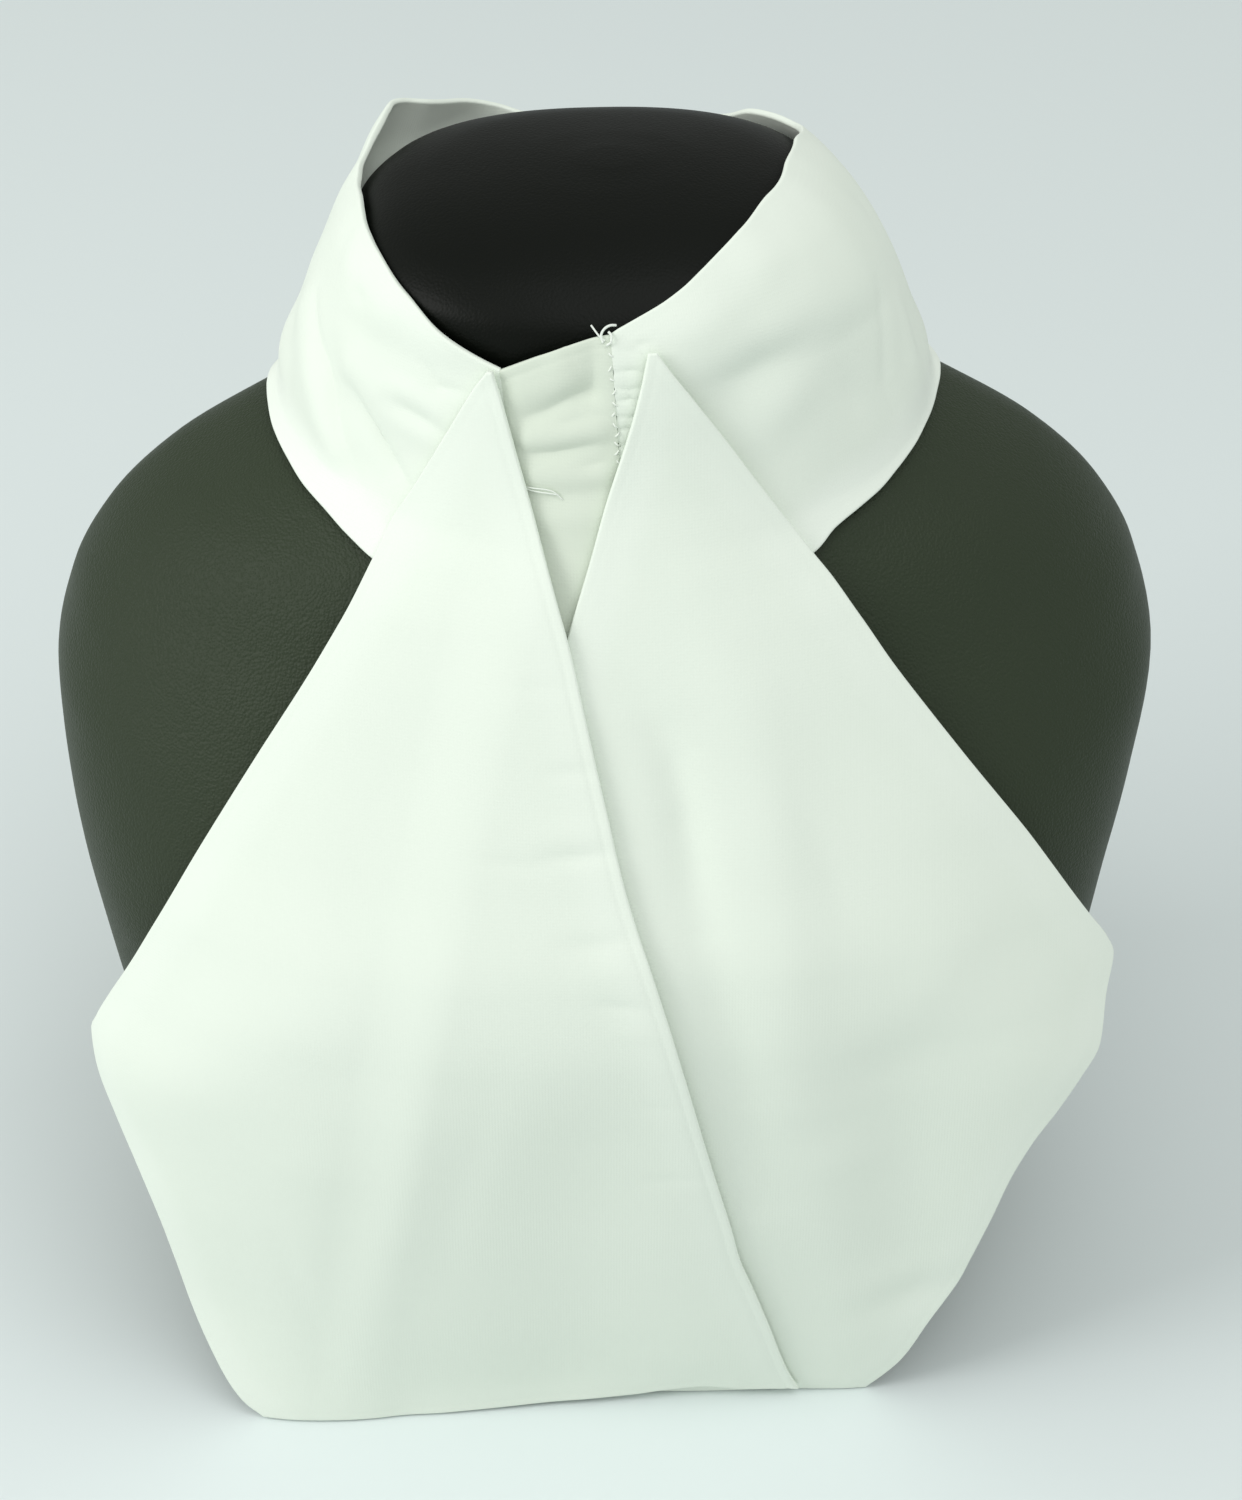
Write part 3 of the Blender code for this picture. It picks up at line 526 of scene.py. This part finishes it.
def cloth_shell(name, inner, relief, threads, pressed, turned, sewn, mat):
    """Sheet of cloth with rounded edges, on the form whose inner face is the grid.

    threads holds the two measures along the threads of the weave. pressed, turned and sewn
    give, for the first row, the last row, the first column and the last column, the depth of
    a line beside the edge, the weight of the turning inside it, and the depth of its seam.
    """
    normal = outward(inner)
    outer = inner + normal * CLOTH_WALL
    rims = [edge_distance(outer, line) for line in (outer[0], outer[-1], outer[:, 0], outer[:, -1])]
    distance = np.minimum.reduce([rim for rim, depth in zip(rims, sewn) if not depth])
    press = np.zeros(distance.shape)
    turning = np.zeros(distance.shape)
    for rim, depth in zip(rims, sewn):
        press = press + depth * np.exp(-((rim / SEAM_GROOVE) ** 2))
    line, width = PRESSED_LINE
    reach, fade = TURNING
    for rim, depth, weight in zip(rims, pressed, turned):
        press = press + depth * np.exp(-(((rim - line) / width) ** 2))
        turning = np.maximum(turning, weight * (1.0 - smooth_step(reach - fade, reach + fade, rim)))
    short = 1.0 - np.clip(distance / EDGE_RADIUS, 0.0, 1.0)
    round_off = EDGE_RADIUS * (1.0 - np.sqrt(1.0 - short**2))
    top = outer + normal * ((relief - press) - round_off)[:, :, None]
    under = outer - normal * (SHOWN_WALL - round_off)[:, :, None]
    rows, columns = inner.shape[:2]
    count = rows * columns
    points = np.concatenate((top.reshape(-1, 3), under.reshape(-1, 3)))
    faces = []
    for r in range(rows - 1):
        for c in range(columns - 1):
            a = r * columns + c
            b = a + columns
            faces.append((a, b, b + 1, a + 1))
            faces.append((count + a, count + a + 1, count + b + 1, count + b))
    border = [c for c in range(columns - 1)]
    border += [r * columns + columns - 1 for r in range(rows - 1)]
    border += [(rows - 1) * columns + c for c in range(columns - 1, 0, -1)]
    border += [r * columns for r in range(rows - 1, 0, -1)]
    for a, b in zip(border, border[1:] + border[:1]):
        faces.append((a, b, count + b, count + a))
    obj = add_mesh(name, points, faces, mat)
    mesh = obj.data
    weights = mesh.attributes.new("turning", "FLOAT", "POINT")
    weights.data.foreach_set("value", np.tile(turning.ravel(), 2).astype(np.float32))
    along = np.stack(np.broadcast_arrays(*threads), axis=-1).reshape(-1, 2) * MM
    along = np.concatenate((along, along))
    corners = np.zeros(len(mesh.loops), dtype=np.int32)
    mesh.loops.foreach_get("vertex_index", corners)
    weave = mesh.uv_layers.new(name="threads")
    weave.data.foreach_set("uv", along[corners].astype(np.float32).ravel())
    return obj


def sheet_area(grid):
    """Area of a grid of points in square metres."""
    a = grid[1:, :-1] - grid[:-1, :-1]
    b = grid[:-1, 1:] - grid[:-1, :-1]
    c = grid[1:, 1:] - grid[1:, :-1]
    d = grid[1:, 1:] - grid[:-1, 1:]
    total = 0.5 * np.linalg.norm(np.cross(a, b), axis=2).sum()
    total += 0.5 * np.linalg.norm(np.cross(c, d), axis=2).sum()
    return total * MM * MM


# Materials


def shader_of(name, colour, roughness):
    """New material with its node tree and Principled shader."""
    mat = bpy.data.materials.new(name)
    mat.use_nodes = True
    tree = mat.node_tree
    shader = tree.nodes["Principled BSDF"]
    shader.inputs["Base Color"].default_value = colour
    shader.inputs["Roughness"].default_value = roughness
    mat.diffuse_color = colour
    return mat, tree, shader


def cotton_material(name, low, high, full):
    """Starched white cotton in a fine plain weave, fuller where its turnings lie inside."""
    mat, tree, shader = shader_of(name, high, 0.85)
    shader.inputs["Specular IOR Level"].default_value = 0.22
    shader.inputs["Sheen Weight"].default_value = 0.10
    shader.inputs["Sheen Roughness"].default_value = 0.5
    place = tree.nodes.new("ShaderNodeTexCoord")
    turning = tree.nodes.new("ShaderNodeAttribute")
    turning.attribute_name = "turning"
    cloudy = tree.nodes.new("ShaderNodeTexNoise")
    cloudy.inputs["Scale"].default_value = 32.0
    cloudy.inputs["Detail"].default_value = 3.0
    tree.links.new(place.outputs["Object"], cloudy.inputs["Vector"])
    shade = tree.nodes.new("ShaderNodeMix")
    shade.data_type = "RGBA"
    shade.inputs[6].default_value = low
    shade.inputs[7].default_value = high
    tree.links.new(cloudy.outputs["Fac"], shade.inputs[0])
    fuller = tree.nodes.new("ShaderNodeMix")
    fuller.data_type = "RGBA"
    fuller.inputs[7].default_value = full
    tree.links.new(turning.outputs["Fac"], fuller.inputs[0])
    tree.links.new(shade.outputs[2], fuller.inputs[6])
    tree.links.new(fuller.outputs[2], shader.inputs["Base Color"])
    warp = tree.nodes.new("ShaderNodeTexWave")
    weft = tree.nodes.new("ShaderNodeTexWave")
    weft.bands_direction = "Y"
    for wave in (warp, weft):
        wave.inputs["Scale"].default_value = 560.0
        wave.inputs["Distortion"].default_value = 0.6
        wave.inputs["Detail"].default_value = 1.0
        tree.links.new(place.outputs["UV"], wave.inputs["Vector"])
    crossing = tree.nodes.new("ShaderNodeMath")
    crossing.operation = "MULTIPLY"
    tree.links.new(warp.outputs["Fac"], crossing.inputs[0])
    tree.links.new(weft.outputs["Fac"], crossing.inputs[1])
    slub = tree.nodes.new("ShaderNodeTexNoise")
    slub.inputs["Scale"].default_value = 1200.0
    slub.inputs["Detail"].default_value = 2.0
    tree.links.new(place.outputs["Object"], slub.inputs["Vector"])
    broad = tree.nodes.new("ShaderNodeBump")
    broad.inputs["Strength"].default_value = 0.16
    broad.inputs["Distance"].default_value = 0.0010
    tree.links.new(cloudy.outputs["Fac"], broad.inputs["Height"])
    woven = tree.nodes.new("ShaderNodeBump")
    woven.inputs["Strength"].default_value = 0.20
    woven.inputs["Distance"].default_value = 0.00008
    tree.links.new(crossing.outputs["Value"], woven.inputs["Height"])
    tree.links.new(broad.outputs["Normal"], woven.inputs["Normal"])
    uneven = tree.nodes.new("ShaderNodeBump")
    uneven.inputs["Strength"].default_value = 0.12
    uneven.inputs["Distance"].default_value = 0.0002
    tree.links.new(slub.outputs["Fac"], uneven.inputs["Height"])
    tree.links.new(woven.outputs["Normal"], uneven.inputs["Normal"])
    tree.links.new(uneven.outputs["Normal"], shader.inputs["Normal"])
    return mat


def thread_material(name):
    """White sewing thread with its twist."""
    mat, tree, shader = shader_of(name, (0.84, 0.88, 0.82, 1.0), 0.7)
    shader.inputs["Specular IOR Level"].default_value = 0.3
    place = tree.nodes.new("ShaderNodeTexCoord")
    twist = tree.nodes.new("ShaderNodeTexWave")
    twist.bands_direction = "DIAGONAL"
    twist.inputs["Scale"].default_value = 500.0
    tree.links.new(place.outputs["Object"], twist.inputs["Vector"])
    bump = tree.nodes.new("ShaderNodeBump")
    bump.inputs["Strength"].default_value = 0.3
    bump.inputs["Distance"].default_value = 0.0001
    tree.links.new(twist.outputs["Fac"], bump.inputs["Height"])
    tree.links.new(bump.outputs["Normal"], shader.inputs["Normal"])
    return mat


def leatherette_material(name):
    """Black leatherette: fine pebbled grain, smoother on the crown; painted sheen greys the
    shoulders and painted shade darkens the crown.
    """
    mat, tree, shader = shader_of(name, (0.030, 0.040, 0.024, 1.0), 0.46)
    shader.inputs["Specular IOR Level"].default_value = 0.14
    place = tree.nodes.new("ShaderNodeTexCoord")
    height = tree.nodes.new("ShaderNodeSeparateXYZ")
    tree.links.new(place.outputs["Object"], height.inputs["Vector"])
    # Share of height from the shoulders to the crown: it sets the painted shade on the crown and
    # the smoother grain there
    share = tree.nodes.new("ShaderNodeMapRange")
    share.interpolation_type = "SMOOTHSTEP"
    share.inputs["From Min"].default_value = 0.192
    share.inputs["From Max"].default_value = 0.214
    tree.links.new(height.outputs["Z"], share.inputs["Value"])
    # Painted light in the base colour: greyer on the shoulders as painted sheen, near black on the
    # crown as painted shade
    painted_sheen_and_shade = tree.nodes.new("ShaderNodeMix")
    painted_sheen_and_shade.data_type = "RGBA"
    painted_sheen_and_shade.inputs[6].default_value = (0.034, 0.046, 0.027, 1.0)
    painted_sheen_and_shade.inputs[7].default_value = (0.0015, 0.0026, 0.0012, 1.0)
    tree.links.new(share.outputs["Result"], painted_sheen_and_shade.inputs[0])
    tree.links.new(painted_sheen_and_shade.outputs[2], shader.inputs["Base Color"])
    pebble = tree.nodes.new("ShaderNodeTexVoronoi")
    pebble.feature = "SMOOTH_F1"
    pebble.inputs["Scale"].default_value = 2000.0
    tree.links.new(place.outputs["Object"], pebble.inputs["Vector"])
    worn = tree.nodes.new("ShaderNodeTexNoise")
    worn.inputs["Scale"].default_value = 60.0
    worn.inputs["Detail"].default_value = 4.0
    tree.links.new(place.outputs["Object"], worn.inputs["Vector"])
    soft = tree.nodes.new("ShaderNodeMapRange")
    soft.inputs["To Min"].default_value = 0.42
    soft.inputs["To Max"].default_value = 0.52
    tree.links.new(worn.outputs["Fac"], soft.inputs["Value"])
    tree.links.new(soft.outputs["Result"], shader.inputs["Roughness"])
    bump = tree.nodes.new("ShaderNodeBump")
    bump.invert = True
    bump.inputs["Strength"].default_value = 1.0
    bump.inputs["Distance"].default_value = 0.0002
    rubbed = tree.nodes.new("ShaderNodeMapRange")
    rubbed.inputs["To Min"].default_value = 1.0
    rubbed.inputs["To Max"].default_value = 0.25
    tree.links.new(share.outputs["Result"], rubbed.inputs["Value"])
    grain = tree.nodes.new("ShaderNodeMath")
    grain.operation = "MULTIPLY"
    tree.links.new(pebble.outputs["Distance"], grain.inputs[0])
    tree.links.new(rubbed.outputs["Result"], grain.inputs[1])
    tree.links.new(grain.outputs["Value"], bump.inputs["Height"])
    tree.links.new(bump.outputs["Normal"], shader.inputs["Normal"])
    return mat


cotton = cotton_material("cotton_plain_weave", (0.80, 0.865, 0.775, 1.0),
                         (0.825, 0.885, 0.80, 1.0), (0.86, 0.915, 0.84, 1.0))
# Painted shade: a darker copy of the cotton for the throat panel, standing in for the shade between
# the tails
painted_shade_cotton = cotton_material("cotton_painted_shade", (0.68, 0.745, 0.64, 1.0),
                              (0.71, 0.77, 0.67, 1.0), (0.76, 0.81, 0.73, 1.0))
thread = thread_material("thread_twisted")
leatherette = leatherette_material("leatherette_pebbled")


# Pieces


def display_bust():
    """Smooth bust, finer than its solid."""
    heights = np.array([row[0] for row in BUST])
    steps = np.linspace(0.0, len(heights) - 1.0, BUST_RINGS)
    levels = np.interp(steps, np.arange(len(heights)), heights)
    angles = np.linspace(0.0, 360.0, BUST_POINTS)[:-1]
    points = []
    for z in levels:
        short = 1.0 - min(z / BASE_RADIUS, 1.0)
        inset = BASE_RADIUS * (1.0 - math.sqrt(max(0.0, 1.0 - short**2)))
        ring = around(BUST, angles, z, -inset)
        ring[:, 0] += look_up(BUST, 6, z)
        points.append(ring)
    rings, count = len(levels), len(angles)
    faces = []
    for r in range(rings - 1):
        for i in range(count):
            j = (i + 1) % count
            faces.append((r * count + i, r * count + j, (r + 1) * count + j, (r + 1) * count + i))
    faces.append(tuple(range(count - 1, -1, -1)))
    faces.append(tuple((rings - 1) * count + i for i in range(count)))
    return add_mesh("bust_leatherette", np.concatenate(points), faces, leatherette)


def stand_off(pushes, angle, share):
    """How far the collar stands off its form."""
    total = 0.0
    for centre, reach, power, push in pushes:
        away = np.minimum(np.abs(angle - centre) / reach, 1.0)
        total = total + push * np.cos(0.5 * math.pi * away) ** 2 * np.maximum(share, 0.0) ** power
    return total


def seam_angle(seam, shift, z):
    """Angle at which a throat seam meets a section."""
    half_width, _, _, _, power = section(DRAPE, z, -TAIL_OVER_COLLAR)
    share = (look_up(seam, 1, z) + shift) / half_width
    return np.degrees(np.arcsin(np.copysign(np.abs(share) ** (0.5 * power), share)))


def collar_half(name, top, bottom, seam, shift, end_angle, pushes, flare, folds, creases,
                seed):
    """Half of the standing band, from its throat seam round to the back."""
    seam_top = look_up(top, 1, seam_angle(seam, shift, SEAM_ENDS[1]))
    seam_low = look_up(bottom, 1, seam_angle(seam, shift, SEAM_ENDS[0]))
    shares = 1.0 - spread(*COLLAR_ROWS)
    across = spread(*COLLAR_COLUMNS)
    share = shares[:, None]
    start = seam_angle(seam, shift, seam_low + shares * (seam_top - seam_low))[:, None]
    angle = start + (end_angle - start) * across[None, :]
    low = look_up(bottom, 1, angle)
    z = low + share * (look_up(top, 1, angle) - low)
    offset = stand_off(pushes, angle, share) - TAIL_OVER_COLLAR
    if flare:
        offset = offset + look_up(flare, 1, angle) * share**FLARE_POWER
    offset = offset + fold_rise(folds, angle, z, MM_PER_DEGREE)
    offset = offset + crease_rise(creases, angle, z, MM_PER_DEGREE)
    if end_angle < 0.0:
        offset = offset + CLOSURE_STEP * (1.0 - smooth_step(*CLOSURE_RAMP, angle))
    grid = around(DRAPE, angle, z, offset)
    relief = COLLAR_WAVE * wrinkle(angle * MM_PER_DEGREE, z, seed)
    pressed = [0.03, 0.03, 0.0, 0.05]
    turned = [0.30, 0.8, 0.0, 0.4]
    sewn = [0.0, 0.0, SEAM_DEPTH, 0.0]
    if end_angle < 0.0:
        grid = grid[:, ::-1]
        relief = relief[:, ::-1]
        angle = angle[:, ::-1]
        z = z[:, ::-1]
        pressed = pressed[:2] + pressed[:1:-1]
        turned = turned[:2] + turned[:1:-1]
        sewn = sewn[:2] + sewn[:1:-1]
    shell = cloth_shell(name, grid, relief, (angle, z), pressed, turned, sewn, cotton)
    return shell, grid


def throat_rise(x, z, share):
    """How far the gathers lift the throat panel."""
    ease = smooth_step(0.0, 0.2, np.minimum(share, 1.0 - share))
    rise = (0.15 + 0.85 * ease) * crease_rise(THROAT_CREASES, x, z)
    for z_left, z_right, half_width, height in THROAT_GATHERS:
        away = (z - z_left - share * (z_right - z_left)) / half_width
        rise = rise + (0.1 + 0.9 * ease) * height * np.exp(-away * away)
    return rise


def throat_panel():
    """Gathered panel between the two collar halves, running down under the tails."""
    down = spread(*THROAT_ROWS)[:, None]
    share = spread(*THROAT_COLUMNS)[None, :]
    top = THROAT_TOP[0] + share * (THROAT_TOP[1] - THROAT_TOP[0])
    top = top + THROAT_ARCH * 4.0 * share * (1.0 - share)
    bottom = THROAT_BOTTOM[0] + share * (THROAT_BOTTOM[1] - THROAT_BOTTOM[0])
    z = top + down * (bottom - top)
    left = look_up(LEFT_SEAM, 1, z) + 0.5 * SEAM_GAP
    right = look_up(RIGHT_SEAM, 1, z) - 0.5 * SEAM_GAP
    x = left + share * (right - left)
    grid = in_front(x, z, throat_rise(x, z, share) - TAIL_OVER_COLLAR)
    relief = THROAT_WAVE * wrinkle(x, z, 31, low=0.05, high=0.16)
    # The throat panel wears the darker cotton, painted shade for its place between the tails
    shell = cloth_shell("throat_panel_cloth", grid, relief, (x, z), [0.10, 0.0, 0.0, 0.0],
                        [0.0, 0.0, 0.0, 0.0], [0.0, 0.0, SEAM_DEPTH, SEAM_DEPTH], painted_shade_cotton)
    return shell, grid


def tail(name, table, folds, creases, layer, hem, pressed, turned, seed):
    """One tail, draped over the collar and the chest and hanging to the floor."""
    heights = np.array([row[0] for row in table])
    height = heights[-1] - heights[0]
    z = (heights[-1] - spread(height, TAIL_ROW_COUNT) * height)[:, None]
    left = look_up(table, 1, z)
    right = look_up(table, 2, z)
    width = (right - left).ravel()
    across = np.array([spread(size, TAIL_COLUMN_COUNT) for size in width])
    x = left + (right - left) * across
    offset = fold_rise(folds, x, z) + crease_rise(creases, x, z)
    if layer:
        hidden_edge = look_up(RIGHT_TAIL, 1, z)
        over = smooth_step(hidden_edge + LAYER_RAMP[0], hidden_edge + LAYER_RAMP[1], x)
        offset = offset + layer * over * (1.0 - smooth_step(*LAYER_HEIGHTS, z))
        offset = offset + over * fold_rise(RIGHT_TAIL_FOLDS, x, z)
    grid = in_front(x, z, offset)
    if hem:
        grid[:, :, 2] += look_up(hem, 1, x) * (1.0 - smooth_step(0.4, HEM_REACH, z))
    relief = TAIL_WAVE * wrinkle(x, z, seed, low=0.008, high=0.03)
    sewn = [0.0, 0.0, 0.0, 0.0]
    return cloth_shell(name, grid, relief, (x, z), pressed, turned, sewn, cotton), grid


def tube(points, thickness):
    """Points and faces of a round thread along a bent line."""
    line = np.asarray(points, float)
    step = np.linalg.norm(np.diff(line, axis=0), axis=1)
    place = np.concatenate(([0.0], np.cumsum(step)))
    fine = np.linspace(0.0, place[-1], max(6, int(place[-1] / THREAD_STEP)))
    path = np.stack([curve(place, line[:, k], fine) for k in range(3)], axis=-1)
    ahead = np.gradient(path, axis=0)
    ahead = ahead / np.linalg.norm(ahead, axis=1, keepdims=True)
    side = np.cross(ahead, (0.31, 0.90, 0.29))
    side = side / np.linalg.norm(side, axis=1, keepdims=True)
    up = np.cross(side, ahead)
    count = THREAD_SIDES
    rings = []
    for turn in np.linspace(0.0, 2.0 * math.pi, count + 1)[:-1]:
        rings.append(path + 0.5 * thickness * (side * math.cos(turn) + up * math.sin(turn)))
    ring_points = np.stack(rings, axis=1).reshape(-1, 3)
    faces = []
    for r in range(len(path) - 1):
        for i in range(count):
            j = (i + 1) % count
            faces.append((r * count + i, r * count + j, (r + 1) * count + j, (r + 1) * count + i))
    faces.append(tuple(range(count - 1, -1, -1)))
    faces.append(tuple((len(path) - 1) * count + i for i in range(count)))
    return ring_points, faces


def on_throat(x, z, above):
    """Point over the outer face of the throat panel."""
    left = look_up(LEFT_SEAM, 1, z)
    share = np.clip((x - left) / (look_up(RIGHT_SEAM, 1, z) - left), 0.0, 1.0)
    rise = throat_rise(x, np.minimum(z, THREAD_CEILING), share)
    return in_front(x, z, rise - TAIL_OVER_COLLAR + CLOTH_WALL + above)


def sewing_thread():
    """Stitches down the right throat seam and loose ends of thread, as one mesh."""
    lines = []
    for z, start, end, drop, above in STITCHES:
        seam = look_up(RIGHT_SEAM, 1, z)
        first = on_throat(seam + start, z, STITCH_SINK)
        middle = on_throat(seam + 0.5 * (start + end), z + 0.5 * drop, above + STITCH_LIFT)
        last = on_throat(seam + end, z + drop, STITCH_SINK)
        lines.append((STITCH_THREAD, (first, middle, last)))
    for thickness, points in LOOSE_THREADS:
        lines.append((thickness, [on_throat(x, z, above) for x, z, above in points]))
    all_points = []
    all_faces = []
    count = 0
    for thickness, line in lines:
        points, faces = tube(line, thickness)
        all_points.append(points)
        all_faces += [tuple(i + count for i in face) for face in faces]
        count += len(points)
    return add_mesh("sewing_thread", np.concatenate(all_points), all_faces, thread)


bust = display_bust()
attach(bust, "root")
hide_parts("display_bust")

half_gap = 0.5 * SEAM_GAP
made = {}
made["collar_left"] = collar_half(
    "collar_left_cloth", LEFT_TOP, LEFT_BOTTOM, LEFT_SEAM, -half_gap, LEFT_END_ANGLE,
    LEFT_STAND_OFF, LEFT_FLARE, LEFT_FOLDS, LEFT_CREASES, 5)
made["collar_right"] = collar_half(
    "collar_right_cloth", RIGHT_TOP, RIGHT_BOTTOM, RIGHT_SEAM, half_gap, RIGHT_END_ANGLE,
    RIGHT_STAND_OFF, (), RIGHT_FOLDS, RIGHT_CREASES, 8)
made["throat_panel"] = throat_panel()
made["tail_right"] = tail(
    "tail_right_cloth", RIGHT_TAIL, RIGHT_TAIL_FOLDS, RIGHT_TAIL_CREASES, 0.0, (),
    [0.0, 0.03, 0.03, 0.03], [0.0, 0.15, 0.4, 0.35], 12)
made["tail_left"] = tail(
    "tail_left_cloth", LEFT_TAIL, LEFT_TAIL_FOLDS, LEFT_TAIL_CREASES, TAIL_OVER_TAIL, LEFT_HEM,
    [0.0, 0.03, 0.03, 0.12], [0.0, 0.1, 0.35, 0.3], 17)

stitching = sewing_thread()
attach(stitching, "root")

# Attach each cloth piece to the root body, hide its CAD part and work out the area of its sheet
for node, (piece, grid) in made.items():
    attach(piece, "root")
    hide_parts(node)
    area = sheet_area(grid)

# Floor, light and camera


def floor():
    """Plain pale floor."""
    mat, tree, shader = shader_of("floor_pale", (0.75, 0.815, 0.815, 1.0), 0.9)
    size = 6.0
    mesh = bpy.data.meshes.new("floor")
    mesh.from_pydata([(-size, -size, 0), (size, -size, 0), (size, size, 0), (-size, size, 0)],
                     [], [(0, 1, 2, 3)])
    mesh.materials.append(mat)
    obj = bpy.data.objects.new("floor", mesh)
    bpy.context.scene.collection.objects.link(obj)


def area_light(name, place, target, size, power, colour):
    """Square soft light aimed at a point."""
    light = bpy.data.lights.new(name, "AREA")
    light.size = size
    light.energy = power
    light.color = colour
    obj = bpy.data.objects.new(name, light)
    obj.location = place
    aim = Vector(target) - Vector(place)
    obj.rotation_euler = aim.to_track_quat("-Z", "Y").to_euler()
    bpy.context.scene.collection.objects.link(obj)


def camera():
    """Camera at the photograph's viewing angle."""
    data = bpy.data.cameras.new("camera")
    data.lens = CAMERA_LENS
    data.sensor_width = 36.0
    obj = bpy.data.objects.new("camera", data)
    a = math.radians(CAMERA_AZIMUTH)
    e = math.radians(CAMERA_ELEVATION)
    back = Vector((math.sin(a) * math.cos(e), -math.cos(a) * math.cos(e), math.sin(e)))
    obj.location = Vector(CAMERA_TARGET) + CAMERA_DISTANCE * back
    obj.rotation_euler = (-back).to_track_quat("-Z", "Y").to_euler()
    bpy.context.scene.collection.objects.link(obj)
    bpy.context.scene.camera = obj


floor()
area_light("key", (-1.15, -0.38, 0.85), (0.0, -0.02, 0.12), 0.7, 8.4, (1.0, 1.0, 0.98))
area_light("top", (0.35, -0.5, 1.5), (0.0, 0.0, 0.12), 1.2, 8.0, (0.98, 1.0, 1.0))
camera()

world = bpy.data.worlds.new("studio")
world.use_nodes = True
background = world.node_tree.nodes["Background"]
background.inputs["Color"].default_value = (0.895, 0.92, 0.895, 1.0)
background.inputs["Strength"].default_value = 0.60
bpy.context.scene.world = world
bpy.context.scene.view_settings.view_transform = "Standard"
